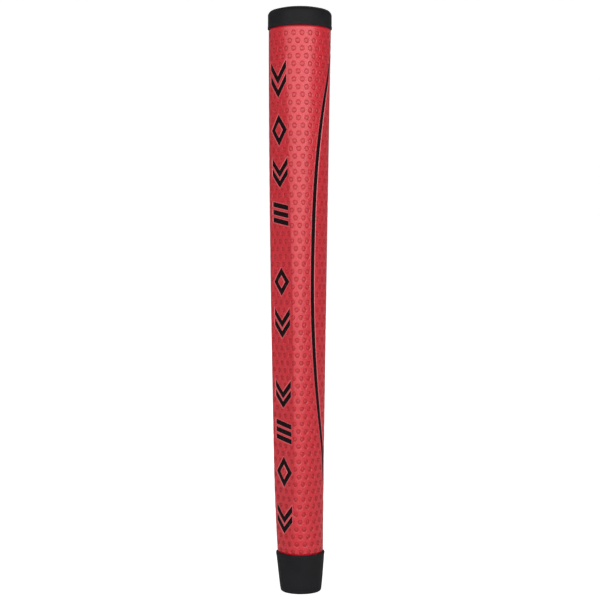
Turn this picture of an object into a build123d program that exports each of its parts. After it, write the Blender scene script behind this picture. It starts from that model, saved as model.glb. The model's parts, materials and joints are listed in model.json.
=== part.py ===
from build123d import *
from math import cos, pi, radians, sin
import os

# Putter grip: a polyurethane wrap with a flat front, over a moulded sleeve, between two rubber caps.
# Millimetres. +Z runs up the grip from the mouth to the butt end, and the flat front faces -Y.
# The origin is the centre of the mouth's end face, on the axis of the shaft bore.

# Lengths along the grip
GRIP_LENGTH = 266.7
MOUTH_RIM = 18.1
BUTT_RIM = 256.7
TUCK = 4.0
SOCKET_FLOOR = 6.0
PLUG_LENGTH = 10.0

# Radii of the shaft bore, of the pegs that join sleeve and caps, and of the vent
BORE_RADIUS = 7.366
PEG_RADIUS = 8.4
VENT_RADIUS = 1.5

# Thickness of each layer of the wrap, and what is skived off its ends where they tuck under the lips
SKIN = 0.8
BACKING = 0.5
SKIVE = 0.45

# The wrap's outline: its mean radius grows evenly from the mouth to the butt end
MOUTH_MEAN_RADIUS = 10.03
BUTT_MEAN_RADIUS = 14.2

# One full-shape outline, as the distance of the flat front from the bore's axis, and four arcs on
# each side. Each arc is (radius, the turn from the front at which it ends); the last arc, round
# the back, takes the radius that closes the outline.
FLAT_DISTANCE = 11.1
FRONT_ARC = (60.0, 6.5)
CORNER_ARC = (4.3, 80.0)
SIDE_ARC = (23.3, 115.0)

# How far the outline is from round (0) to the full shape (1) and a little sharper, along the grip
FULL_SHARPNESS = 1.13
BUTT_SHARPNESS = 0.2
MOUTH_SHARPNESS = 0.35
FULL_FROM = 60.0
FULL_TO = 90.0

# Caps
BUTT_LIP = 0.35
MOUTH_LIP = 0.65
CAP_EDGE = 2.2
CROWN_RADIUS = 52.0
MOUTH_END_RADIUS = 9.25
MOUTH_EDGE = 1.0
MOUTH_TAPER_POWER = 0.8
MOUTH_SECTIONS = 4

# Debossed decoration: grooves in the skin, and the ink that fills them to just under the surface
GROOVE_DEPTH = 0.4
INK_BELOW_SURFACE = 0.15
LINE_WIDTH = 2.3
SEAM_WIDTH = 1.0

# Each side line leaves the middle of the back, runs to its most forward place and returns
LINE_MIDDLE = 151.7
LINE_RISE = 99.4
LINE_FALL = 120.0
LINE_REACH = 87.6
RISE_FULLNESS = 2.81
FALL_FULLNESS = 2.19
LINE_STEPS = 16

# Front marks, from the butt end down: a kind, the height of the top end and the length along the grip
MARK_WIDTH = 10.9
MARK_STROKE = 2.3
CHEVRON_DEPTH = 0.42
BAR_LEAN = 2.0
FRONT_MARKS = (
    ("chevrons", 241.7, 17.0),
    ("diamond", 217.6, 14.4),
    ("chevrons", 198.3, 13.9),
    ("bars", 178.5, 11.3),
    ("diamond", 148.7, 13.1),
    ("chevrons", 130.6, 14.1),
    ("chevrons", 97.8, 13.2),
    ("bars", 79.6, 11.0),
    ("diamond", 62.7, 14.2),
    ("chevrons", 41.1, 13.8),
)

# Heights of the sections that the wrap's form is drawn through, which runs past both of its ends
FORM_BOTTOM = 12.0
FORM_TOP = 264.0
FORM_SECTIONS = 9

REACH = 60.0


def closing_radius(front, corner, side):
    """Radius of the back arc that brings an outline made of these radii back to the middle."""
    turns = [radians(arc[1]) for arc in (FRONT_ARC, CORNER_ARC, SIDE_ARC)]
    offset = front * sin(turns[0])
    offset += corner * (sin(turns[1]) - sin(turns[0]))
    offset += side * (sin(turns[2]) - sin(turns[1]))
    return offset / sin(turns[2])


def full_arcs():
    """The full-shape outline's arcs on one side, as (radius, first turn, last turn) in radians."""
    back = closing_radius(FRONT_ARC[0], CORNER_ARC[0], SIDE_ARC[0])
    arcs = []
    start = 0.0
    for radius, end in (FRONT_ARC, CORNER_ARC, SIDE_ARC, (back, 180.0)):
        arcs.append((radius, start, radians(end)))
        start = radians(end)
    return arcs


FULL_ARCS = full_arcs()
FULL_MEAN_RADIUS = sum(radius * (last - first) for radius, first, last in FULL_ARCS) / pi


def mean_radius(height):
    """Mean radius of the wrap at a height."""
    share = height / GRIP_LENGTH
    return MOUTH_MEAN_RADIUS + (BUTT_MEAN_RADIUS - MOUTH_MEAN_RADIUS) * share


def sharpness(height):
    """How much of the full shape the wrap has at a height; the rest of it is round."""
    if height > FULL_TO:
        away = (height - FULL_TO) / (BUTT_RIM - FULL_TO)
        return FULL_SHARPNESS - (FULL_SHARPNESS - BUTT_SHARPNESS) * away**2
    if height < FULL_FROM:
        away = (FULL_FROM - height) / (FULL_FROM - MOUTH_RIM)
        return FULL_SHARPNESS - (FULL_SHARPNESS - MOUTH_SHARPNESS) * away**2
    return FULL_SHARPNESS


def outline_point(turn, mean, sharp, inset=0.0):
    """The outline's point whose outward direction is at this turn from the front, right side positive."""
    scale = sharp * mean / FULL_MEAN_RADIUS
    round_radius = mean * (1 - sharp) - inset
    x = 0.0
    y = -(round_radius + scale * FLAT_DISTANCE)
    for full_radius, first, last in FULL_ARCS:
        radius = round_radius + scale * full_radius
        reached = min(max(abs(turn), first), last)
        x += radius * (sin(reached) - sin(first))
        y += radius * (cos(first) - cos(reached))
    return (x if turn >= 0 else -x, y)


def outline(height, mean, sharp, inset=0.0):
    """Closed outline of six tangent arcs, level at a height."""
    turns = [radians(arc[1]) for arc in (FRONT_ARC, CORNER_ARC, SIDE_ARC)]
    ends = [-turns[0], *turns, 2 * pi - turns[2], 2 * pi - turns[1], 2 * pi - turns[0]]
    edges = []
    for first, last in zip(ends, ends[1:]):
        places = []
        for turn in (first, (first + last) / 2, last):
            signed = turn if turn <= pi else turn - 2 * pi
            x, y = outline_point(signed, mean, sharp, inset)
            places.append((x, y, height))
        edges.append(ThreePointArc(*places))
    return Face(Wire(edges))


def wrap_form(inset):
    """The wrap's smooth tapering form, drawn inset from its outer surface, past both ends."""
    step = (FORM_TOP - FORM_BOTTOM) / (FORM_SECTIONS - 1)
    heights = [FORM_BOTTOM + step * i for i in range(FORM_SECTIONS)]
    return loft([outline(z, mean_radius(z), sharpness(z), inset) for z in heights])


def slab(low, high):
    """Everything between two heights."""
    return Pos(0, 0, low) * Box(REACH, REACH, high - low, align=(Align.CENTER, Align.CENTER, Align.MIN))


def rod(radius, low, high):
    """Cylinder on the bore's axis between two heights."""
    return Pos(0, 0, low) * Cylinder(radius, high - low, align=(Align.CENTER, Align.CENTER, Align.MIN))


SURFACE = wrap_form(0.0)
SKIVED = wrap_form(SKIVE)
INK_TOP = wrap_form(INK_BELOW_SURFACE)
GROOVE_FLOOR = wrap_form(GROOVE_DEPTH)
SKIN_INSIDE = wrap_form(SKIN)
BACKING_INSIDE = wrap_form(SKIN + BACKING)
WRAP_BOTTOM = MOUTH_RIM - TUCK
WRAP_TOP = BUTT_RIM + TUCK


def side_line_path(side):
    """A side line's middle, on the surface, round from the top of the back to its bottom.

    It runs one step past the middle of the back at both ends. side is 1 on the right, -1 on the left.
    """
    points = []
    for i in range(-1, LINE_STEPS + 2):
        swing = pi * i / LINE_STEPS
        rising = cos(swing) > 0
        fullness = RISE_FULLNESS if rising else FALL_FULLNESS
        travel = LINE_RISE if rising else -LINE_FALL
        height = LINE_MIDDLE + travel * abs(cos(swing)) ** (2 / fullness)
        forward = LINE_REACH * abs(sin(swing)) ** (2 / fullness)
        turn = radians(180.0 - forward)
        x, y = outline_point(turn, mean_radius(height), sharpness(height))
        points.append((side * x if 0 <= i <= LINE_STEPS else -side * x, y, height))
    return Spline(*points)


def side_line_cutter(side):
    """Round bar along a side line, as wide as the line, up to the seam."""
    path = side_line_path(side)
    start = Plane(origin=path @ 0, z_dir=path % 0)
    bar = sweep(start * Circle(LINE_WIDTH / 2), path=path)
    beside_seam = Box(REACH, REACH, GRIP_LENGTH)
    return bar & Pos(side * (REACH + SEAM_WIDTH) / 2, 0, GRIP_LENGTH / 2) * beside_seam


def chevrons(length):
    """Two nested strokes that point down the grip."""
    half = MARK_WIDTH / 2
    depth = CHEVRON_DEPTH * length
    thickness = MARK_STROKE * (half**2 + depth**2) ** 0.5 / half
    shape = Sketch()
    for top in (0.0, depth + thickness - length):
        points = [(-half, top), (0, top - depth), (half, top)]
        points += [(half, top - thickness), (0, top - depth - thickness), (-half, top - thickness)]
        shape += Polygon(*points, align=None)
    return shape


def diamond(length):
    """A diamond outline, longer along the grip."""
    half = MARK_WIDTH / 2
    side = (half**2 + (length / 2) ** 2) ** 0.5
    shrink = 1 - MARK_STROKE * side / (half * length / 2)
    corners = [(0, length / 2), (half, 0), (0, -length / 2), (-half, 0)]
    inner = [(x * shrink, y * shrink) for x, y in corners]
    shape = Polygon(*corners, align=None) - Polygon(*inner, align=None)
    return Pos(0, -length / 2) * shape


def bars(length):
    """Three slanted strokes side by side."""
    half = MARK_WIDTH / 2
    step = (length - BAR_LEAN - MARK_STROKE) / 2
    shape = Sketch()
    for i in range(3):
        top = -i * step
        points = [(-half, top), (half, top - BAR_LEAN)]
        points += [(half, top - BAR_LEAN - MARK_STROKE), (-half, top - MARK_STROKE)]
        shape += Polygon(*points, align=None)
    return shape


MARK_SHAPES = {"chevrons": chevrons, "diamond": diamond, "bars": bars}


def front_mark_cutter():
    """All the marks as prisms that reach from in front of the grip to its middle."""
    shape = Sketch()
    for kind, top, length in FRONT_MARKS:
        shape += Pos(0, top) * MARK_SHAPES[kind](length)
    return extrude(Plane.XZ * shape, amount=REACH, dir=(0, -1, 0))


LINE_RIGHT = side_line_cutter(1)
LINE_LEFT = side_line_cutter(-1)
MARKS = front_mark_cutter()
SEAM_SLOT = Pos(0, REACH / 2, GRIP_LENGTH / 2) * Box(SEAM_WIDTH, REACH, GRIP_LENGTH)


def tucked(form):
    """A form cut to the wrap's length, thinned at both ends where the cap lips cover it."""
    ends = SKIVED & (slab(WRAP_BOTTOM, MOUTH_RIM) + slab(BUTT_RIM, WRAP_TOP))
    return (form & slab(MOUTH_RIM, BUTT_RIM)) + ends


def make_wrap_skin():
    """Polyurethane skin: grooved for the ink, and open along the back where its edges meet."""
    shell = tucked(SURFACE) - SKIN_INSIDE
    grooves = (LINE_RIGHT + LINE_LEFT + MARKS) - GROOVE_FLOOR
    return shell - SEAM_SLOT - grooves


def make_back_seam():
    """Bead that fills the joint down the back, a little below the surface."""
    ends = SKIVED & (slab(WRAP_BOTTOM, MOUTH_RIM) + slab(BUTT_RIM, WRAP_TOP))
    visible = INK_TOP & slab(MOUTH_RIM, BUTT_RIM)
    return ((visible + ends) - SKIN_INSIDE) & SEAM_SLOT


def make_ink(cutter):
    """Ink in a groove, from its floor to just below the surface."""
    return (cutter & INK_TOP) - GROOVE_FLOOR


def make_wrap_backing():
    """Felt layer under the skin."""
    return (SKIN_INSIDE & slab(WRAP_BOTTOM, WRAP_TOP)) - BACKING_INSIDE


def make_core_sleeve():
    """Tapering sleeve with a parallel bore, a peg for the mouth cap and a socket for the butt cap."""
    taper = BACKING_INSIDE & slab(WRAP_BOTTOM, WRAP_TOP)
    sleeve = taper + rod(PEG_RADIUS, SOCKET_FLOOR, WRAP_BOTTOM)
    sleeve -= rod(BORE_RADIUS, SOCKET_FLOOR, WRAP_TOP)
    return sleeve - rod(PEG_RADIUS, WRAP_TOP - PLUG_LENGTH, WRAP_TOP)


def make_butt_cap():
    """Crowned rubber cap with a skirt over the wrap, a plug in the sleeve and a vent through."""
    rim = outline(BUTT_RIM, mean_radius(BUTT_RIM) + BUTT_LIP, BUTT_SHARPNESS)
    shell = extrude(rim, amount=GRIP_LENGTH - BUTT_RIM)
    shell &= Pos(0, 0, GRIP_LENGTH - CROWN_RADIUS) * Sphere(CROWN_RADIUS)
    shell = fillet(shell.faces().sort_by(Axis.Z)[-1].edges(), CAP_EDGE)
    shell -= SKIVED & slab(BUTT_RIM - TUCK, WRAP_TOP)
    plug = rod(PEG_RADIUS, WRAP_TOP - PLUG_LENGTH, WRAP_TOP)
    return shell + plug - rod(VENT_RADIUS, WRAP_TOP - PLUG_LENGTH, GRIP_LENGTH)


def make_mouth_cap():
    """Rubber collar that tapers to a round mouth, with a socket for the sleeve and a skirt."""
    growth = mean_radius(MOUTH_RIM) + MOUTH_LIP - MOUTH_END_RADIUS
    sections = []
    for i in range(MOUTH_SECTIONS):
        share = i / (MOUTH_SECTIONS - 1)
        radius = MOUTH_END_RADIUS + growth * share**MOUTH_TAPER_POWER
        sections.append(outline(MOUTH_RIM * share, radius, MOUTH_SHARPNESS * share))
    shell = loft(sections)
    shell = fillet(shell.faces().sort_by(Axis.Z)[0].edges(), MOUTH_EDGE)
    shell -= rod(BORE_RADIUS, 0, SOCKET_FLOOR)
    shell -= rod(PEG_RADIUS, SOCKET_FLOOR, WRAP_BOTTOM)
    return shell - (SKIVED & slab(WRAP_BOTTOM, MOUTH_RIM + TUCK))


PARTS = {
    "butt_cap": make_butt_cap(),
    "mouth_cap": make_mouth_cap(),
    "core_sleeve": make_core_sleeve(),
    "wrap_backing": make_wrap_backing(),
    "wrap_skin": make_wrap_skin(),
    "back_seam": make_back_seam(),
    "side_line_right": make_ink(LINE_RIGHT),
    "side_line_left": make_ink(LINE_LEFT),
    "front_marks": make_ink(MARKS),
}

os.makedirs("parts", exist_ok=True)
for name, shape in PARTS.items():
    export_step(shape, f"parts/{name}.step")
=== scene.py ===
import json
from math import atan2, cos, pi, radians, sin, tau

import bpy
import numpy as np
from mathutils import Matrix, Vector


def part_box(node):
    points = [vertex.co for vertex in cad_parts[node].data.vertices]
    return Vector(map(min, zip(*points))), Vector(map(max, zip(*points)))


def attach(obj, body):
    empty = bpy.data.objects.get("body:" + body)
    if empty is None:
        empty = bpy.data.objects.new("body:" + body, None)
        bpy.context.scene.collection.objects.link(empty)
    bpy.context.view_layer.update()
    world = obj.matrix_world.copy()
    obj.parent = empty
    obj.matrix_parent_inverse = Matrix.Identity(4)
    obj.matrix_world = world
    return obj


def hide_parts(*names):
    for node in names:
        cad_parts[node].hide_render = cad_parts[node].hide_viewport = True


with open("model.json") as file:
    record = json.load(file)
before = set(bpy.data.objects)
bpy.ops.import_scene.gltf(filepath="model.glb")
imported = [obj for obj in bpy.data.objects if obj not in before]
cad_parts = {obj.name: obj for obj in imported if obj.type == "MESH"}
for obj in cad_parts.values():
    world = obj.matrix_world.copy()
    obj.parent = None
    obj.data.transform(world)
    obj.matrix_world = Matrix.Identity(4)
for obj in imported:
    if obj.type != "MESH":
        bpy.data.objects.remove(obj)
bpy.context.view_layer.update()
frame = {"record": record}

# The grip's sizes are in millimetres. MM turns them into the scene's metres.
MM = 0.001

# ---------------------------------------------------------------- sizes of the grip, millimetres

GRIP_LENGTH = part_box("butt_cap")[1][2] / MM
MOUTH_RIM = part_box("mouth_cap")[1][2] / MM
WRAP_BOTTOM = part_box("wrap_skin")[0][2] / MM
WRAP_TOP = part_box("wrap_skin")[1][2] / MM
TUCK = MOUTH_RIM - WRAP_BOTTOM
BUTT_RIM = WRAP_TOP - TUCK
BORE_RADIUS = frame["record"]["mounts"][0]["dims"]["r_mm"]
VENT_RADIUS = frame["record"]["mounts"][1]["dims"]["r_mm"]
PEG_RADIUS = 8.4
SOCKET_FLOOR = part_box("core_sleeve")[0][2] / MM
PLUG_LENGTH = 10.0

# The wrap's outline: mean radius at both ends, and the full shape's arcs as (radius, last turn).
MOUTH_MEAN_RADIUS = 10.03
BUTT_MEAN_RADIUS = 14.2
FLAT_DISTANCE = 11.1
FRONT_ARC = (60.0, 6.5)
CORNER_ARC = (4.3, 80.0)
SIDE_ARC = (23.3, 115.0)
FULL_SHARPNESS = 1.13
BUTT_SHARPNESS = 0.2
MOUTH_SHARPNESS = 0.35
FULL_FROM = 60.0
FULL_TO = 90.0

# Layers and lips
SKIN = 0.8
SKIVE = 0.45
BUTT_LIP = 0.35
MOUTH_LIP = 0.65
LIP_FLARE = 0.12
CAP_EDGE = 2.2
CROWN_RADIUS = 52.0
MOUTH_END_RADIUS = 9.25
MOUTH_TAPER_POWER = 0.8
MOUTH_EDGE = 1.0

# The skin's mesh: steps round the grip, the height of a row, and the rows on its inside
STEPS_ROUND = 372
ROW_STEP = 0.24
INNER_ROWS = 12

# Embossed rings, in rows of equal pitch, with every second row moved half a pitch
RING_PITCH = 3.9
ROW_PITCH = 3.436
FIRST_ROW = 253.25
RING_START = 1.45
RING_RADIUS = 0.93
RING_HALF_WIDTH = 0.22
RING_DEPTH = 0.28

# The island inside a ring: how deep it lies, its painted shade, and how much darker it is painted towards
# the mouth
ISLAND_DEPTH = 0.06
ISLAND_SHADE = 0.15
ISLAND_EXTRA_DARK_LOW = 0.5

# The flat front's edges: a low crease whose two slopes meet in a line
CREASE_HEIGHT = 0.22
CREASE_FLAT_SLOPE = 2.6
CREASE_SIDE_SLOPE = 1.5
CREASE_FROM = 40.0
CREASE_FULL = 75.0

# Grooves for the ink, the raised bead along their edges and the plain margin that no ring enters
GROOVE_DEPTH = 0.40
GROOVE_WALL = 0.20
BEAD_HEIGHT = 0.07
BEAD_WIDTH = 0.40
PLAIN_MARGIN = 0.75
MARGIN_FADE = 0.15
INK_BELOW_SURFACE = 0.13
INK_THICKNESS = 0.22
INTO_WALL = 0.02
TUCK_FADE = 0.8

# Back seam: the skin rounds off beside it, no ring comes near, and the filler sinks to both sides
SEAM_WIDTH = 1.0
SEAM_ROUNDING = 0.2
SEAM_MARGIN = 1.2
SEAM_SUNK = 0.10
SEAM_DISH = 0.16

# Each side line leaves the middle of the back, runs to its most forward place and returns
LINE_WIDTH = 2.3
LINE_MIDDLE = 151.7
LINE_RISE = 99.4
LINE_FALL = 120.0
LINE_REACH = 87.6
RISE_FULLNESS = 2.81
FALL_FULLNESS = 2.19
LINE_POINTS = 281
LINE_OVERRUN = 0.12
LINE_SMOOTHING = 30

# Front marks, from the butt end down: a kind, the height of the top end and the length
MARK_WIDTH = 10.9
MARK_STROKE = 2.3
CHEVRON_DEPTH = 0.42
BAR_LEAN = 2.0
FRONT_MARKS = (
    ("chevrons", 241.7, 17.0),
    ("diamond", 217.6, 14.4),
    ("chevrons", 198.3, 13.9),
    ("bars", 178.5, 11.3),
    ("diamond", 148.7, 13.1),
    ("chevrons", 130.6, 14.1),
    ("chevrons", 97.8, 13.2),
    ("bars", 79.6, 11.0),
    ("diamond", 62.7, 14.2),
    ("chevrons", 41.1, 13.8),
)

# Camera: it stands a little above the middle of the grip and looks a little down
CAMERA_AZIMUTH = 50.0
CAMERA_DISTANCE = 631.5
CAMERA_HEIGHT = 154.2
CAMERA_PITCH = 1.863
CAMERA_ROLL = -0.068
CAMERA_SIDE = -0.26
FOCAL_PIXELS = 1380.0
IMAGE_PIXELS = 600
SENSOR_WIDTH = 36.0

# Studio sweep, metres, and the extra glow that its floor has for the camera alone
SWEEP_RADIUS = 2.2
SWEEP_BEND = 1.0
SWEEP_WALL = 1.5
FLOOR_GLOW = 0.74

# Arc of soft boxes on the camera's side: its first azimuth and spacing in degrees, and the powers
ARC_FROM = -8.0
ARC_STEP = 27.0
ARC_POWERS = (3.1, 4.2, 4.5, 4.8, 5.4)
ARC_HEIGHT = 0.48
ARC_DISTANCE = 1.3
BOX_WIDTH = 0.58
BOX_TALL = 0.9

# One box behind the grip, far and high so that its plane stays off the floor, and the pale world
BACK_HEIGHT = 1.5
BACK_DISTANCE = 2.0
BACK_SIZE = 1.0
BACK_POWER = 12.0
WORLD_STRENGTH = 0.145


# ---------------------------------------------------------------- the wrap's form


def full_arcs():
    """The full outline's arcs on one side, as (radius, first turn, last turn); the last one closes it."""
    arcs = []
    start = 0.0
    offset = 0.0
    for radius, end in (FRONT_ARC, CORNER_ARC, SIDE_ARC):
        arcs.append((radius, start, radians(end)))
        offset += radius * (sin(radians(end)) - sin(start))
        start = radians(end)
    arcs.append((offset / sin(start), start, pi))
    return arcs


FULL_ARCS = full_arcs()
FULL_MEAN_RADIUS = sum(radius * (last - first) for radius, first, last in FULL_ARCS) / pi


def mean_radius(height):
    """Mean radius of the wrap at a height."""
    return MOUTH_MEAN_RADIUS + (BUTT_MEAN_RADIUS - MOUTH_MEAN_RADIUS) * height / GRIP_LENGTH


def sharpness(height):
    """How much of the full outline the wrap has at a height; the rest of it is round."""
    above = np.clip((height - FULL_TO) / (BUTT_RIM - FULL_TO), 0, None)
    below = np.clip((FULL_FROM - height) / (FULL_FROM - MOUTH_RIM), 0, None)
    drop = (FULL_SHARPNESS - BUTT_SHARPNESS) * above**2
    drop = drop + (FULL_SHARPNESS - MOUTH_SHARPNESS) * below**2
    return FULL_SHARPNESS - drop


def outline(turn, mean, sharp):
    """x, y and the length round from the front, for outward directions at these turns from it."""
    scale = sharp * mean / FULL_MEAN_RADIUS
    round_radius = mean * (1 - sharp)
    x = 0.0
    y = -(round_radius + scale * FLAT_DISTANCE)
    length = 0.0
    for full_radius, first, last in FULL_ARCS:
        radius = round_radius + scale * full_radius
        reached = np.clip(np.abs(turn), first, last)
        x = x + radius * (np.sin(reached) - sin(first))
        y = y + radius * (cos(first) - np.cos(reached))
        length = length + radius * (reached - first)
    side = np.where(turn < 0, -1.0, 1.0)
    return side * x, y, side * length


KEY_TURNS = np.array([0.0] + [last for _, _, last in FULL_ARCS])


def turn_at(length, mean, sharp):
    """The turns at which the outline has come these lengths round from the front."""
    keys = outline(KEY_TURNS, mean, sharp)[2]
    return np.sign(length) * np.interp(np.abs(length), keys, KEY_TURNS)


def place(turn, height, inset):
    """Points on the wrap's surface, moved inwards, as an array of x, y, z in metres."""
    x, y, _ = outline(turn, mean_radius(height), sharpness(height))
    x = x - inset * np.sin(turn)
    y = y + inset * np.cos(turn)
    z = height + 0.0 * x
    return np.stack([x, y, z], axis=-1) * MM


# ---------------------------------------------------------------- decoration

# A distance that is past everything
FAR = 1e9


def smooth(low, high, value):
    """0 below low, 1 above high, and an even S between."""
    share = np.clip((value - low) / (high - low), 0, 1)
    return share * share * (3 - 2 * share)


def tucked_share(height):
    """1 where a cap's lip covers the wrap, 0 where it is in view."""
    below = smooth(-TUCK_FADE, 0.0, MOUTH_RIM - height)
    return np.maximum(below, smooth(-TUCK_FADE, 0.0, height - BUTT_RIM))


def chevrons(top, length):
    """Outlines of two nested strokes that point down the grip."""
    half = MARK_WIDTH / 2
    depth = CHEVRON_DEPTH * length
    thickness = MARK_STROKE * (half**2 + depth**2) ** 0.5 / half
    shapes = []
    for start in (top, top + depth + thickness - length):
        points = [(-half, start), (0, start - depth), (half, start)]
        points += [(half, start - thickness), (0, start - depth - thickness), (-half, start - thickness)]
        shapes.append(points)
    return shapes


def diamond_corners(top, length):
    """A diamond's outer and inner corners."""
    half = MARK_WIDTH / 2
    side = (half**2 + (length / 2) ** 2) ** 0.5
    shrink = 1 - MARK_STROKE * side / (half * length / 2)
    middle = top - length / 2
    corners = [(0, length / 2), (half, 0), (0, -length / 2), (-half, 0)]
    outer = [(x, middle + z) for x, z in corners]
    inner = [(x * shrink, middle + z * shrink) for x, z in corners]
    return outer, inner


def diamond(top, length):
    """Four strokes round an open middle, as the four sides of a diamond."""
    outer, inner = diamond_corners(top, length)
    return [[outer[i - 1], outer[i], inner[i], inner[i - 1]] for i in range(4)]


def bars(top, length):
    """Outlines of three slanted strokes side by side."""
    half = MARK_WIDTH / 2
    step = (length - BAR_LEAN - MARK_STROKE) / 2
    shapes = []
    for i in range(3):
        start = top - i * step
        points = [(-half, start), (half, start - BAR_LEAN)]
        points += [(half, start - BAR_LEAN - MARK_STROKE), (-half, start - MARK_STROKE)]
        shapes.append(points)
    return shapes


MARK_SHAPES = {"chevrons": chevrons, "diamond": diamond, "bars": bars}


def polygon_distance(x, z, points):
    """Signed distance to a closed outline, negative inside."""
    nearest = np.full(x.shape, FAR)
    inside = np.zeros(x.shape, bool)
    for (ax, az), (bx, bz) in zip(points, points[1:] + points[:1]):
        dx, dz = bx - ax, bz - az
        along = np.clip(((x - ax) * dx + (z - az) * dz) / (dx * dx + dz * dz), 0, 1)
        gap = np.hypot(x - ax - along * dx, z - az - along * dz)
        nearest = np.minimum(nearest, gap)
        crosses = (az > z) != (bz > z)
        inside ^= crosses & (x < (bx - ax) * (z - az) / ((bz - az) or 1e-9) + ax)
    return np.where(inside, -nearest, nearest)


def marks_distance(turn, height):
    """Signed distance to the nearest mark."""
    x = outline(turn, mean_radius(height), sharpness(height))[0]
    distance = np.full(x.shape, FAR)
    around = 3.0
    facing = (np.abs(turn) < pi / 2) & (np.abs(x) < MARK_WIDTH / 2 + around)
    for kind, top, length in FRONT_MARKS:
        near = facing & (height < top + around) & (height > top - length - around)
        if kind == "diamond":
            outer, inner = diamond_corners(top, length)
            hole = polygon_distance(x[near], height[near], inner)
            distance[near] = np.maximum(polygon_distance(x[near], height[near], outer), -hole)
            continue
        for points in MARK_SHAPES[kind](top, length):
            found = polygon_distance(x[near], height[near], points)
            distance[near] = np.minimum(distance[near], found)
    return distance


def line_path():
    """Middle of the right side line on the unrolled wrap; it runs on a little past the seam."""
    path = []
    for swing in np.linspace(-LINE_OVERRUN, pi + LINE_OVERRUN, LINE_POINTS):
        rising = cos(swing) > 0
        fullness = RISE_FULLNESS if rising else FALL_FULLNESS
        travel = LINE_RISE if rising else -LINE_FALL
        height = LINE_MIDDLE + travel * abs(cos(swing)) ** (2 / fullness)
        forward = LINE_REACH * abs(sin(swing)) ** (2 / fullness)
        mean = mean_radius(height)
        length = float(outline(np.array(radians(180.0 - forward)), mean, sharpness(height))[2])
        path.append((length if sin(swing) > 0 else 2 * pi * mean - length, height))
    path = np.array(path)
    for _ in range(LINE_SMOOTHING):
        path[1:-1] = (path[:-2] + 2 * path[1:-1] + path[2:]) / 4
    return path


LINE_PATH = line_path()


def line_distance(length, height):
    """Distance from the middle of the nearer side line, on the unrolled wrap, row by row."""
    distance = np.full(length.shape, FAR)
    across = np.abs(length)
    for row in range(len(length)):
        z = height[row, 0]
        near = np.flatnonzero(np.abs(LINE_PATH[:-1, 1] - z) < LINE_WIDTH + 2)
        for i in near:
            (ax, az), (bx, bz) = LINE_PATH[i], LINE_PATH[i + 1]
            share = (across[row] - ax) * (bx - ax) + (z - az) * (bz - az)
            share = np.clip(share / ((bx - ax) ** 2 + (bz - az) ** 2), 0, 1)
            found = np.hypot(across[row] - ax - share * (bx - ax), z - az - share * (bz - az))
            distance[row] = np.minimum(distance[row], found)
    return distance


def ring_distance(length, height):
    """Distance to the centre of the nearest ring."""
    nearest = np.full(length.shape, FAR)
    above = np.floor((FIRST_ROW - height) / ROW_PITCH)
    for row in (above, above + 1):
        row = np.maximum(row, 0)
        shift = RING_START + RING_PITCH / 2 * (row % 2)
        column = np.round((length - shift) / RING_PITCH)
        across = length - shift - column * RING_PITCH
        along = height - (FIRST_ROW - row * ROW_PITCH)
        nearest = np.minimum(nearest, np.hypot(across, along))
    return nearest


def groove_profile(edge):
    """Depth of an ink groove and its raised bead, by distance outside the groove's edge."""
    groove = GROOVE_DEPTH * (1 - smooth(-GROOVE_WALL, 0, edge))
    bead = BEAD_HEIGHT * smooth(-0.05, 0.1, edge) * (1 - smooth(0.1, BEAD_WIDTH, edge))
    return groove - bead


def crease_relief(length, height):
    """Height of the creases along both edges of the flat front; they die out towards both ends."""
    mean, sharp = mean_radius(height), sharpness(height)
    edge = outline(np.full(height.shape, radians(FRONT_ARC[1])), mean, sharp)[2]
    past = np.abs(length) - edge
    ramp = np.where(past > 0, 1 - past / CREASE_SIDE_SLOPE, 1 + past / CREASE_FLAT_SLOPE)
    strength = smooth(0.55, 1.0, sharp) * smooth(CREASE_FROM, CREASE_FULL, height)
    return CREASE_HEIGHT * np.clip(ramp, 0, 1) * strength


def skin_relief(turn, length, height):
    """Depth below the smooth form, the share of painted shade in the rings and their islands, and the
    distance to the nearest ink.
    """
    marks = marks_distance(turn, height)
    line = line_distance(length, height) - LINE_WIDTH / 2
    edge = np.minimum(marks, line)
    round_half = pi * mean_radius(height)
    seam = round_half - np.abs(length) - SEAM_WIDTH / 2
    away = ring_distance(length, height)
    ring = np.clip(1 - ((away - RING_RADIUS) / RING_HALF_WIDTH) ** 2, 0, 1) ** 1.5
    island = 1 - smooth(RING_RADIUS - RING_HALF_WIDTH, RING_RADIUS, away)
    keep = smooth(PLAIN_MARGIN - MARGIN_FADE, PLAIN_MARGIN, edge)
    keep = keep * smooth(SEAM_MARGIN, SEAM_MARGIN + 0.2, seam)
    keep = keep * smooth(0.2, 0.5, height - MOUTH_RIM) * smooth(0.2, 0.5, BUTT_RIM - height)
    ring = ring * keep
    relief = RING_DEPTH * ring + ISLAND_DEPTH * island * keep * (1 - ring)
    relief = relief + groove_profile(edge) - crease_relief(length, height) * smooth(0.0, 0.6, edge)
    relief = relief + SEAM_ROUNDING * (1 - smooth(0.0, 0.5, seam))
    # Painted shade: the sunk island inside each ring is darkened, and darker towards the mouth
    dot = island * keep * (ISLAND_SHADE + ISLAND_EXTRA_DARK_LOW * (1 - height / GRIP_LENGTH))
    return relief + SKIVE * tucked_share(height), np.maximum(ring, dot), edge


# ---------------------------------------------------------------- mesh helpers


def make_object(name, vertices, faces):
    """A smooth-shaded mesh object from arrays of vertices and faces."""
    mesh = bpy.data.meshes.new(name)
    mesh.from_pydata(np.asarray(vertices).tolist(), [], faces)
    mesh.validate()
    mesh.polygons.foreach_set("use_smooth", [True] * len(mesh.polygons))
    piece = bpy.data.objects.new(name, mesh)
    bpy.context.scene.collection.objects.link(piece)
    return piece


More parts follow.
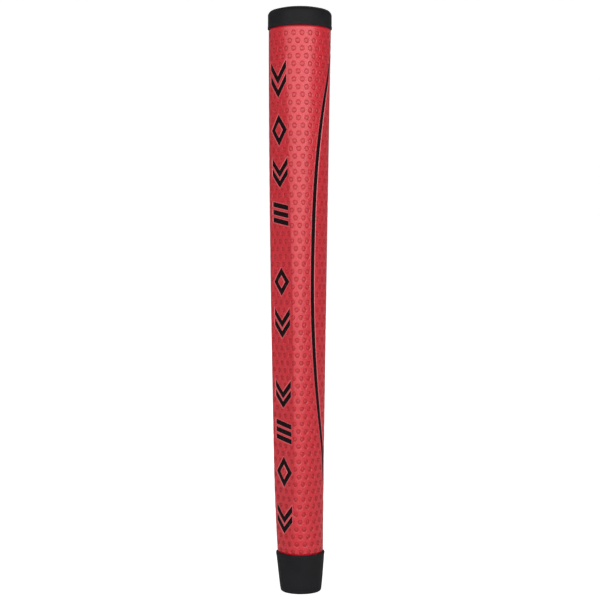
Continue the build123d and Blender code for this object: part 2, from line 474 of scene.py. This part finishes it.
def grid_faces(rows, columns, start=0, wrap_columns=False, wrap_rows=False, flip=False):
    """Quads between the vertices of a grid."""
    last_row = rows if wrap_rows else rows - 1
    last_column = columns if wrap_columns else columns - 1
    r, c = np.meshgrid(np.arange(last_row), np.arange(last_column), indexing="ij")
    r2, c2 = (r + 1) % rows, (c + 1) % columns
    corners = [r * columns + c, r * columns + c2, r2 * columns + c2, r2 * columns + c]
    quads = np.stack([corner.ravel() for corner in corners], axis=-1) + start
    if flip:
        quads = quads[:, ::-1]
    return quads


def add_attribute(piece, name, values):
    """Float attribute on the vertices, for the materials to read."""
    attribute = piece.data.attributes.new(name, "FLOAT", "POINT")
    attribute.data.foreach_set("value", np.asarray(values, dtype=np.float32).ravel())


# ---------------------------------------------------------------- materials


class Nodes:
    """Short way to write a material's node tree."""

    def __init__(self, name):
        self.material = bpy.data.materials.new(name)
        self.material.use_nodes = True
        self.tree = self.material.node_tree
        self.shader = self.tree.nodes["Principled BSDF"]

    def add(self, kind, inputs=None, **settings):
        node = self.tree.nodes.new(kind)
        for key, value in settings.items():
            setattr(node, key, value)
        for key, value in (inputs or {}).items():
            if isinstance(value, bpy.types.NodeSocket):
                self.tree.links.new(value, node.inputs[key])
            else:
                node.inputs[key].default_value = value
        return node

    def set(self, key, value):
        if isinstance(value, bpy.types.NodeSocket):
            self.tree.links.new(value, self.shader.inputs[key])
        else:
            self.shader.inputs[key].default_value = value

    def place(self):
        return self.add("ShaderNodeTexCoord").outputs["Object"]

    def noise(self, scale, detail, roughness):
        inputs = {"Scale": scale, "Detail": detail, "Roughness": roughness, "Vector": self.place()}
        return self.add("ShaderNodeTexNoise", inputs).outputs["Fac"]

    def cells(self, scale):
        inputs = {"Scale": scale, "Vector": self.place()}
        return self.add("ShaderNodeTexVoronoi", inputs).outputs["Distance"]

    def math(self, operation, a, b):
        return self.add("ShaderNodeMath", {0: a, 1: b}, operation=operation).outputs[0]

    def spread(self, value, low, high, to_low=0.0, to_high=1.0):
        inputs = {"Value": value, "From Min": low, "From Max": high, "To Min": to_low, "To Max": to_high}
        return self.add("ShaderNodeMapRange", inputs).outputs["Result"]

    def mix(self, share, a, b):
        node = self.add("ShaderNodeMix", data_type="RGBA")
        for key, value in ((0, share), (6, a), (7, b)):
            if isinstance(value, bpy.types.NodeSocket):
                self.tree.links.new(value, node.inputs[key])
            else:
                node.inputs[key].default_value = value
        return node.outputs[2]

    def attribute(self, name):
        return self.add("ShaderNodeAttribute", attribute_name=name).outputs["Fac"]

    def bump(self, height, distance, strength, normal=None):
        inputs = {"Height": height, "Distance": distance, "Strength": strength}
        if normal:
            inputs["Normal"] = normal
        return self.add("ShaderNodeBump", inputs).outputs["Normal"]


WRAP_RED = (0.515, 0.0055, 0.0165, 1)
# A deep red for both the grain's specks and the painted shade in the rings
WRAP_DEEP = (0.29, 0.002, 0.005, 1)
WRAP_PALE = (0.60, 0.022, 0.040, 1)
# Painted highlight on the raised beads beside the ink
WRAP_BEAD_HIGHLIGHT = (0.78, 0.200, 0.230, 1)


def wrap_material():
    """Cast polyurethane: fine leather-like grain, painted shade in the rings, a painted highlight on the
    raised beads.
    """
    m = Nodes("wrap_polyurethane")
    grain = m.cells(2600.0)
    fine = m.noise(5200.0, 4.0, 0.7)
    broad = m.noise(38.0, 2.0, 0.5)
    tone = m.spread(broad, 0.3, 0.7, 0.0, 0.22)
    colour = m.mix(tone, WRAP_RED, WRAP_PALE)
    speck = m.spread(fine, 0.45, 0.75, 0.0, 0.18)
    colour = m.mix(speck, colour, WRAP_DEEP)
    # Painted shade: the rings and their sunk islands are mixed towards the deep red
    ring = m.math("MULTIPLY", m.attribute("ring"), 0.95)
    colour = m.mix(ring, colour, WRAP_DEEP)
    # Painted highlight: the raised beads beside the ink are mixed towards a pale pink
    edge = m.math("MULTIPLY", m.attribute("bead"), 0.6)
    colour = m.mix(edge, colour, WRAP_BEAD_HIGHLIGHT)
    m.set("Base Color", colour)
    rough = m.spread(fine, 0.3, 0.7, 0.32, 0.42)
    rough = m.math("SUBTRACT", rough, m.math("MULTIPLY", m.attribute("bead"), 0.08))
    m.set("Roughness", rough)
    m.set("Specular IOR Level", m.spread(m.attribute("ring"), 0.0, 1.0, 0.70, 0.30))
    m.set("Sheen Weight", 0.10)
    m.set("Sheen Roughness", 0.14)
    m.set("Subsurface Weight", 0.06)
    m.set("Subsurface Radius", (0.0012, 0.0004, 0.0003))
    coarse = m.bump(grain, 0.00004, 0.45)
    m.set("Normal", m.bump(fine, 0.00002, 0.5, coarse))
    return m.material


def cap_material():
    """Moulded rubber: near black, with a fine stipple and slightly worn, paler edges."""
    m = Nodes("cap_rubber")
    stipple = m.noise(3800.0, 4.0, 0.65)
    broad = m.noise(60.0, 3.0, 0.5)
    colour = m.mix(m.spread(broad, 0.35, 0.65), (0.0090, 0.0090, 0.0100, 1), (0.0125, 0.0125, 0.0138, 1))
    geometry = m.add("ShaderNodeNewGeometry")
    worn = m.spread(geometry.outputs["Pointiness"], 0.52, 0.60, 0.0, 0.5)
    colour = m.mix(worn, colour, (0.05, 0.05, 0.052, 1))
    m.set("Base Color", colour)
    m.set("Roughness", m.spread(stipple, 0.3, 0.7, 0.50, 0.66))
    m.set("Specular IOR Level", 0.10)
    m.set("Normal", m.bump(stipple, 0.00003, 0.5))
    return m.material


def ink_material():
    """Black ink laid in a groove: slightly uneven satin film."""
    m = Nodes("black_ink")
    film = m.noise(900.0, 4.0, 0.6)
    fine = m.noise(4200.0, 3.0, 0.6)
    colour = m.mix(m.spread(film, 0.35, 0.7), (0.0055, 0.0022, 0.0027, 1), (0.0095, 0.0038, 0.0047, 1))
    m.set("Base Color", colour)
    m.set("Roughness", m.spread(film, 0.3, 0.7, 0.42, 0.58))
    m.set("Specular IOR Level", 0.07)
    m.set("Normal", m.bump(fine, 0.00002, 0.5))
    return m.material


def felt_material():
    """Dense felt: matted fibres."""
    m = Nodes("felt")
    fibres = m.noise(2400.0, 6.0, 0.8)
    broad = m.noise(160.0, 3.0, 0.5)
    colour = m.mix(m.spread(fibres, 0.3, 0.7), (0.30, 0.28, 0.26, 1), (0.50, 0.48, 0.45, 1))
    colour = m.mix(m.spread(broad, 0.3, 0.7, 0.0, 0.3), colour, (0.36, 0.33, 0.31, 1))
    m.set("Base Color", colour)
    m.set("Roughness", 0.95)
    m.set("Sheen Weight", 0.4)
    m.set("Normal", m.bump(fibres, 0.00008, 0.8))
    return m.material


def sleeve_material():
    """Closed-cell rubber: fine pores, darkened with painted shade."""
    m = Nodes("sleeve_rubber")
    pores = m.cells(1500.0)
    broad = m.noise(90.0, 3.0, 0.5)
    colour = m.mix(m.spread(broad, 0.3, 0.7), (0.030, 0.030, 0.031, 1), (0.045, 0.045, 0.046, 1))
    # Painted shade: the pores are darkened
    colour = m.mix(m.spread(pores, 0.0, 0.35, 0.6, 0.0), colour, (0.012, 0.012, 0.012, 1))
    m.set("Base Color", colour)
    m.set("Roughness", m.spread(pores, 0.0, 0.6, 0.85, 0.7))
    m.set("Normal", m.bump(pores, 0.00008, 0.6))
    return m.material


def seam_material():
    """Filler along the back: smooth, a darker red, with slow waves from the trowel."""
    m = Nodes("seam_filler")
    waves = m.noise(260.0, 2.0, 0.5)
    fine = m.noise(3600.0, 3.0, 0.6)
    colour = m.mix(m.spread(waves, 0.3, 0.7), (0.40, 0.016, 0.026, 1), (0.50, 0.026, 0.040, 1))
    m.set("Base Color", colour)
    m.set("Roughness", m.spread(fine, 0.3, 0.7, 0.34, 0.46))
    m.set("Normal", m.bump(fine, 0.00002, 0.4, m.bump(waves, 0.0001, 0.4)))
    return m.material


def floor_material():
    """Plain pale floor with a barely visible paper grain."""
    m = Nodes("studio_floor")
    grain = m.noise(400.0, 3.0, 0.6)
    colour = m.mix(m.spread(grain, 0.3, 0.7), (0.86, 0.86, 0.86, 1), (0.88, 0.88, 0.88, 1))
    m.set("Base Color", colour)
    m.set("Roughness", 0.9)
    m.set("Emission Color", (1, 1, 1, 1))
    seen = m.add("ShaderNodeLightPath").outputs["Is Camera Ray"]
    m.set("Emission Strength", m.math("MULTIPLY", seen, FLOOR_GLOW))
    return m.material


# ---------------------------------------------------------------- pieces


def make_skin():
    """The wrap's outer layer as a closed sheet, open along the back seam."""
    low, high = MOUTH_RIM - TUCK / 2, BUTT_RIM + TUCK / 2
    rows = int((high - low) / ROW_STEP) + 1
    heights = np.linspace(low, high, rows)
    columns = STEPS_ROUND + 1
    lengths = np.empty((rows, columns))
    turns = np.empty((rows, columns))
    share = np.linspace(-1, 1, columns)
    for i, height in enumerate(heights):
        mean, sharp = mean_radius(height), sharpness(height)
        lengths[i] = share * (pi * mean - SEAM_WIDTH / 2)
        turns[i] = turn_at(lengths[i], mean, sharp)
    grid_heights = np.repeat(heights[:, None], columns, axis=1)
    relief, ring, edge = skin_relief(turns, lengths, grid_heights)
    outer = place(turns, grid_heights, relief).reshape(-1, 3)
    # Mask of the painted highlight on the raised beads beside the ink; it also lowers their roughness
    bead = smooth(-0.12, 0.02, edge) * (1 - smooth(0.06, 0.34, edge))
    inner_rows = np.linspace(0, rows - 1, INNER_ROWS).astype(int)
    inner = place(turns[inner_rows], grid_heights[inner_rows], SKIN).reshape(-1, 3)
    start = rows * columns
    faces = grid_faces(rows, columns).tolist()
    faces += grid_faces(INNER_ROWS, columns, start, flip=True).tolist()
    for row, inner_row, flip in ((0, 0, False), (rows - 1, INNER_ROWS - 1, True)):
        for c in range(columns - 1):
            a = row * columns + c
            b = start + inner_row * columns + c
            quad = [a, b, b + 1, a + 1]
            faces.append(quad[::-1] if flip else quad)
    for column, flip in ((0, False), (columns - 1, True)):
        for k in range(INNER_ROWS - 1):
            first, last = inner_rows[k], inner_rows[k + 1]
            wall = [r * columns + column for r in range(int(first), int(last) + 1)]
            wall += [start + (k + 1) * columns + column, start + k * columns + column]
            faces.append(wall[::-1] if flip else wall)
    piece = make_object("wrap_skin_embossed", np.concatenate([outer, inner]), faces)
    blank = np.zeros(len(inner))
    # Share of painted shade in the rings and their islands
    add_attribute(piece, "ring", np.concatenate([ring.ravel(), blank]))
    # Mask of the painted highlight on the beads
    add_attribute(piece, "bead", np.concatenate([bead.ravel(), blank]))
    return piece


def make_seam():
    """Bead of filler in the joint down the back, slightly crowned."""
    low, high = MOUTH_RIM - TUCK / 2, BUTT_RIM + TUCK / 2
    rows = int(high - low) + 1
    across = np.linspace(-1, 1, 13)
    heights = np.linspace(low, high, rows)
    vertices = []
    for outside in (True, False):
        for height, tucked in zip(heights, tucked_share(heights)):
            mean, sharp = mean_radius(height), sharpness(height)
            from_middle = across * SEAM_WIDTH * 0.62
            turn = turn_at(pi * mean - np.abs(from_middle), mean, sharp)
            sunk = SEAM_SUNK + SEAM_DISH * across**2 + 0.002 * sin(height * 0.9)
            points = place(turn, height, sunk + SKIVE * tucked if outside else SKIN)
            points[:, 0] *= np.where(from_middle < 0, -1, 1)
            vertices.append(points)
    vertices = np.concatenate(vertices)
    columns = len(across)
    under = rows * columns
    faces = grid_faces(rows, columns).tolist()
    faces += grid_faces(rows, columns, under, flip=True).tolist()
    for row, flip in ((0, False), (rows - 1, True)):
        for c in range(columns - 1):
            a = row * columns + c
            quad = [a, a + under, a + under + 1, a + 1]
            faces.append(quad[::-1] if flip else quad)
    for column, flip in ((0, True), (columns - 1, False)):
        for r in range(rows - 1):
            a = r * columns + column
            quad = [a, a + under, a + columns + under, a + columns]
            faces.append(quad[::-1] if flip else quad)
    return make_object("back_seam_bead", vertices, faces)


def ribbon(rows):
    """Closed strip from rows of (top points, bottom points); each row runs across the strip."""
    columns = len(rows[0][0])
    loops = [np.concatenate([top, bottom[::-1]]) for top, bottom in rows]
    vertices = np.concatenate(loops)
    size = 2 * columns
    faces = grid_faces(len(rows), size, wrap_columns=True).tolist()
    faces.append(list(range(size))[::-1])
    faces.append([(len(rows) - 1) * size + i for i in range(size)])
    return vertices, faces


def make_line(side):
    """Ink in a side line's groove; it reaches a little into the groove's walls."""
    rows = []
    across = np.linspace(-1, 1, 7) * (LINE_WIDTH / 2 + INTO_WALL)
    edges = pi * mean_radius(LINE_PATH[:, 1]) - SEAM_WIDTH / 2
    kept = np.flatnonzero(LINE_PATH[:, 0] < edges)
    path = LINE_PATH[kept[0] : kept[-1] + 1]
    slope = np.gradient(path, axis=0)
    slope /= np.linalg.norm(slope, axis=1)[:, None]
    for (length, height), (dl, dh) in zip(path, slope):
        lengths = length - across * dh
        heights = height + across * dl
        mean, sharp = mean_radius(heights), sharpness(heights)
        lengths = np.minimum(lengths, pi * mean - SEAM_WIDTH / 2 + INTO_WALL)
        turn = np.array([turn_at(*point) for point in zip(lengths, mean, sharp)])
        top = place(turn, heights, INK_BELOW_SURFACE)
        bottom = place(turn, heights, INK_BELOW_SURFACE + INK_THICKNESS)
        for points in (top, bottom):
            points[:, 0] *= side
        rows.append((top, bottom))
    vertices, faces = ribbon(rows)
    if side > 0:
        faces = [face[::-1] for face in faces]
    return make_object("side_line_ink_right" if side > 0 else "side_line_ink_left", vertices, faces)


def stroke_mesh(points, start):
    """One stroke of a mark, divided along its length, as a closed slab of ink."""
    half = len(points) // 2
    near = np.array(points[:half])
    far = np.array(points[half:][::-1])
    steps = 10
    rows = []
    for k in range((half - 1) * steps + 1):
        i = min(k // steps, half - 2)
        share = k / steps - i
        a = near[i] * (1 - share) + near[i + 1] * share
        b = far[i] * (1 - share) + far[i + 1] * share
        line = np.array([a * (1 - t) + b * t for t in np.linspace(0, 1, 4)])
        x, height = line[:, 0], line[:, 1]
        turn = turn_at_x(x, height)
        top = place(turn, height, INK_BELOW_SURFACE)
        bottom = place(turn, height, INK_BELOW_SURFACE + INK_THICKNESS)
        rows.append((top, bottom))
    vertices, faces = ribbon(rows)
    return vertices, [[i + start for i in face] for face in faces]


def turn_at_x(x, height):
    """Turns on the front half where the outline passes these x."""
    turns = np.linspace(-pi / 2, pi / 2, 721)
    found = []
    for one_x, one_height in zip(x, height):
        xs = outline(turns, mean_radius(one_height), sharpness(one_height))[0]
        found.append(np.interp(one_x, xs, turns))
    return np.array(found)


def make_marks():
    """Ink in the front marks' grooves, one closed slab for each stroke."""
    vertices = []
    faces = []
    count = 0
    for kind, top, length in FRONT_MARKS:
        for points in MARK_SHAPES[kind](top, length):
            new_vertices, new_faces = stroke_mesh(points, count)
            vertices.append(new_vertices)
            faces += new_faces
            count += len(new_vertices)
    return make_object("front_mark_ink", np.concatenate(vertices), faces)


def lathe(name, profile):
    """Closed ring of rows, each (height, mean radius, sharpness), wrapped round the bore's axis."""
    columns = 192
    share = np.linspace(-1, 1, columns, endpoint=False)
    rows = []
    for height, mean, sharp in profile:
        turn = turn_at(share * pi * mean, mean, sharp)
        x, y, _ = outline(turn, mean, sharp)
        rows.append(np.stack([x, y, height + 0 * x], axis=-1) * MM)
    faces = grid_faces(len(profile), columns, wrap_columns=True, wrap_rows=True).tolist()
    return make_object(name, np.concatenate(rows), faces)


def arc_rows(height, radius, size, first, last, sharp, steps):
    """Rows round a rounded edge: centre (radius, height), from one angle to another in degrees."""
    rows = []
    for i in range(steps + 1):
        angle = radians(first + (last - first) * i / steps)
        rows.append((height + size * sin(angle), radius + size * cos(angle), sharp))
    return rows


def crown(radius):
    """Height of the butt cap's crowned top at a distance from the axis."""
    return GRIP_LENGTH - CROWN_RADIUS + (CROWN_RADIUS**2 - radius**2) ** 0.5


def make_butt_cap():
    """Butt cap: lip over the wrap, straight wall, rounded edge, crowned top with a vent."""
    wrap = float(mean_radius(BUTT_RIM))
    sharp = BUTT_SHARPNESS
    wall = wrap + BUTT_LIP
    slot = wrap - SKIVE
    floor = BUTT_RIM + TUCK
    plug = floor - PLUG_LENGTH
    lip = 0.25
    profile = [(BUTT_RIM + 0.35, slot, sharp), (BUTT_RIM + 0.08, slot + 0.06, sharp)]
    profile += [(BUTT_RIM, slot + 0.2, sharp), (BUTT_RIM, wall - 0.15, sharp)]
    profile += arc_rows(BUTT_RIM + lip, wall + LIP_FLARE - lip, lip, -90, 0, sharp, 5)
    profile += [(BUTT_RIM + 0.7, wall + LIP_FLARE, sharp), (BUTT_RIM + 1.1, wall + LIP_FLARE / 2, sharp)]
    profile += [(BUTT_RIM + 1.6, wall, sharp), (BUTT_RIM + 3.0, wall, sharp)]
    inner = wall - CAP_EDGE
    slope = atan2(inner, (CROWN_RADIUS**2 - inner**2) ** 0.5)
    middle = crown(inner) - CAP_EDGE * cos(slope)
    centre = inner - CAP_EDGE * sin(slope)
    spread = wall - CAP_EDGE - centre
    for i in range(13):
        angle = (pi / 2 - slope) * i / 12
        shift = spread * (1 - i / 12)
        profile.append((middle + CAP_EDGE * sin(angle), centre + shift + CAP_EDGE * cos(angle), sharp))
    for i in range(1, 9):
        radius = inner + (VENT_RADIUS + 0.5 - inner) * i / 8
        profile.append((crown(radius), radius, sharp * (1 - i / 8)))
    profile += [(crown(0) - 0.1, VENT_RADIUS + 0.15, 0), (crown(0) - 0.4, VENT_RADIUS, 0)]
    profile += [(plug, VENT_RADIUS, 0), (plug, PEG_RADIUS - 0.5, 0), (plug + 0.5, PEG_RADIUS, 0)]
    profile += [(floor - 0.1, PEG_RADIUS, 0), (floor, PEG_RADIUS + 0.1, 0)]
    profile += [(floor, slot - 0.1, sharp), (floor - 0.1, slot, sharp)]
    profile += [(BUTT_RIM + 1.5, slot, sharp)]
    return lathe("butt_cap_moulded", profile)


def mouth_wall(height):
    """Mean radius of the mouth cap's outside at a height."""
    rim = float(mean_radius(MOUTH_RIM)) + MOUTH_LIP
    return MOUTH_END_RADIUS + (rim - MOUTH_END_RADIUS) * (height / MOUTH_RIM) ** MOUTH_TAPER_POWER


def make_mouth_cap():
    """Mouth cap: round mouth, convex taper, and a flared lip over the wrap."""
    wrap = float(mean_radius(MOUTH_RIM))
    sharp = MOUTH_SHARPNESS
    slot = wrap - SKIVE
    rim = mouth_wall(MOUTH_RIM)
    edge = 0.25
    profile = [(0.0, BORE_RADIUS + 0.3, 0)]
    start = MOUTH_EDGE
    outside = mouth_wall(start)
    profile += arc_rows(start, outside - MOUTH_EDGE, MOUTH_EDGE, -90, 0, 0, 8)
    steps = 16
    for i in range(1, steps):
        height = start + (MOUTH_RIM - 2.4 - start) * i / steps
        profile.append((height, mouth_wall(height), sharp * height / MOUTH_RIM))
    profile += [(MOUTH_RIM - 2.4, mouth_wall(MOUTH_RIM - 2.4), sharp)]
    profile += [(MOUTH_RIM - 1.7, rim - 0.12, sharp), (MOUTH_RIM - 1.1, rim, sharp)]
    profile += arc_rows(MOUTH_RIM - edge, rim - edge + 0.05, edge, 0, 90, sharp, 5)
    profile += [(MOUTH_RIM, slot + 0.2, sharp), (MOUTH_RIM - 0.08, slot + 0.06, sharp)]
    profile += [(MOUTH_RIM - 0.35, slot, sharp), (WRAP_BOTTOM + 0.1, slot, sharp)]
    profile += [(WRAP_BOTTOM, slot - 0.1, sharp), (WRAP_BOTTOM, PEG_RADIUS + 0.1, 0)]
    profile += [(WRAP_BOTTOM - 0.1, PEG_RADIUS, 0), (SOCKET_FLOOR + 0.1, PEG_RADIUS, 0)]
    profile += [(SOCKET_FLOOR, PEG_RADIUS - 0.1, 0), (SOCKET_FLOOR, BORE_RADIUS + 0.1, 0)]
    profile += [(SOCKET_FLOOR - 0.1, BORE_RADIUS, 0), (0.3, BORE_RADIUS, 0)]
    return lathe("mouth_cap_moulded", profile)


def dress(piece, material, node):
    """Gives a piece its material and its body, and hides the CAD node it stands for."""
    piece.data.materials.clear()
    piece.data.materials.append(material)
    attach(piece, "root")
    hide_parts(node)


def dress_kept_node(node, material):
    """Gives a CAD node that stays in view its material."""
    kept = bpy.data.objects[node]
    kept.data.materials.clear()
    kept.data.materials.append(material)


# ---------------------------------------------------------------- stage


def make_stage():
    """Seamless studio sweep: a round pale floor that curves up into a wall all round."""
    steps = 96
    turns = np.linspace(0, tau, steps, endpoint=False)
    profile = [(SWEEP_RADIUS * share, 0.0) for share in (0.0002, 0.25, 0.6, 1.0)]
    for i in range(1, 13):
        angle = pi / 2 * i / 12
        profile.append((SWEEP_RADIUS + SWEEP_BEND * sin(angle), SWEEP_BEND * (1 - cos(angle))))
    profile.append((SWEEP_RADIUS + SWEEP_BEND, SWEEP_BEND + SWEEP_WALL))
    rows = [np.stack([r * np.cos(turns), r * np.sin(turns), z + 0 * turns], axis=-1) for r, z in profile]
    faces = grid_faces(len(profile), steps, wrap_columns=True).tolist()
    faces.append(list(range(steps))[::-1])
    floor = make_object("studio_floor", np.concatenate(rows), faces)
    floor.data.materials.append(floor_material())


def area_light(name, azimuth, height, distance, size, tall, power):
    """Soft box that faces the grip's middle from an azimuth; sizes in metres."""
    light = bpy.data.lights.new(name, "AREA")
    light.shape = "RECTANGLE"
    light.size = size
    light.size_y = tall
    light.energy = power
    lamp = bpy.data.objects.new(name, light)
    angle = radians(azimuth)
    lamp.location = (distance * sin(angle), -distance * cos(angle), height)
    target = Vector((0, 0, GRIP_LENGTH * MM / 2))
    lamp.rotation_euler = (target - lamp.location).to_track_quat("-Z", "Y").to_euler()
    bpy.context.scene.collection.objects.link(lamp)


def make_lights():
    """A bright soft room: an arc of soft boxes on the camera's side, one behind, and a pale world."""
    for i, power in enumerate(ARC_POWERS):
        azimuth = ARC_FROM + ARC_STEP * i
        area_light(f"arc_{i}", azimuth, ARC_HEIGHT, ARC_DISTANCE, BOX_WIDTH, BOX_TALL, power)
    azimuth = CAMERA_AZIMUTH + 175
    area_light("back", azimuth, BACK_HEIGHT, BACK_DISTANCE, BACK_SIZE, BACK_SIZE, BACK_POWER)
    world = bpy.data.worlds.new("studio")
    world.use_nodes = True
    background = world.node_tree.nodes["Background"]
    background.inputs[0].default_value = (1, 1, 1, 1)
    background.inputs[1].default_value = WORLD_STRENGTH
    bpy.context.scene.world = world
    bpy.context.scene.view_settings.view_transform = "Standard"


def make_camera():
    """Camera that turns to the grip from its azimuth, with a small downward pitch."""
    data = bpy.data.cameras.new("camera")
    data.sensor_width = SENSOR_WIDTH
    data.lens = SENSOR_WIDTH * FOCAL_PIXELS / IMAGE_PIXELS
    data.clip_start = 0.01
    data.clip_end = 20
    camera = bpy.data.objects.new("camera", data)
    angle = radians(CAMERA_AZIMUTH)
    right = Vector((cos(angle), sin(angle), 0))
    toward = Vector((sin(angle), -cos(angle), 0))
    spot = toward * CAMERA_DISTANCE + right * CAMERA_SIDE + Vector((0, 0, CAMERA_HEIGHT))
    turn = Matrix.Rotation(angle, 4, "Z")
    tilt = Matrix.Rotation(radians(90 - CAMERA_PITCH), 4, "X")
    roll = Matrix.Rotation(radians(CAMERA_ROLL), 4, "Z")
    camera.matrix_world = Matrix.Translation(spot * MM) @ turn @ tilt @ roll
    bpy.context.scene.collection.objects.link(camera)
    bpy.context.scene.camera = camera


# ---------------------------------------------------------------- assembly

INK = ink_material()
CAP = cap_material()
dress(make_skin(), wrap_material(), "wrap_skin")
dress(make_seam(), seam_material(), "back_seam")
dress(make_line(1), INK, "side_line_right")
dress(make_line(-1), INK, "side_line_left")
dress(make_marks(), INK, "front_marks")
dress(make_butt_cap(), CAP, "butt_cap")
dress(make_mouth_cap(), CAP, "mouth_cap")
dress_kept_node("core_sleeve", sleeve_material())
dress_kept_node("wrap_backing", felt_material())
make_stage()
make_lights()
make_camera()
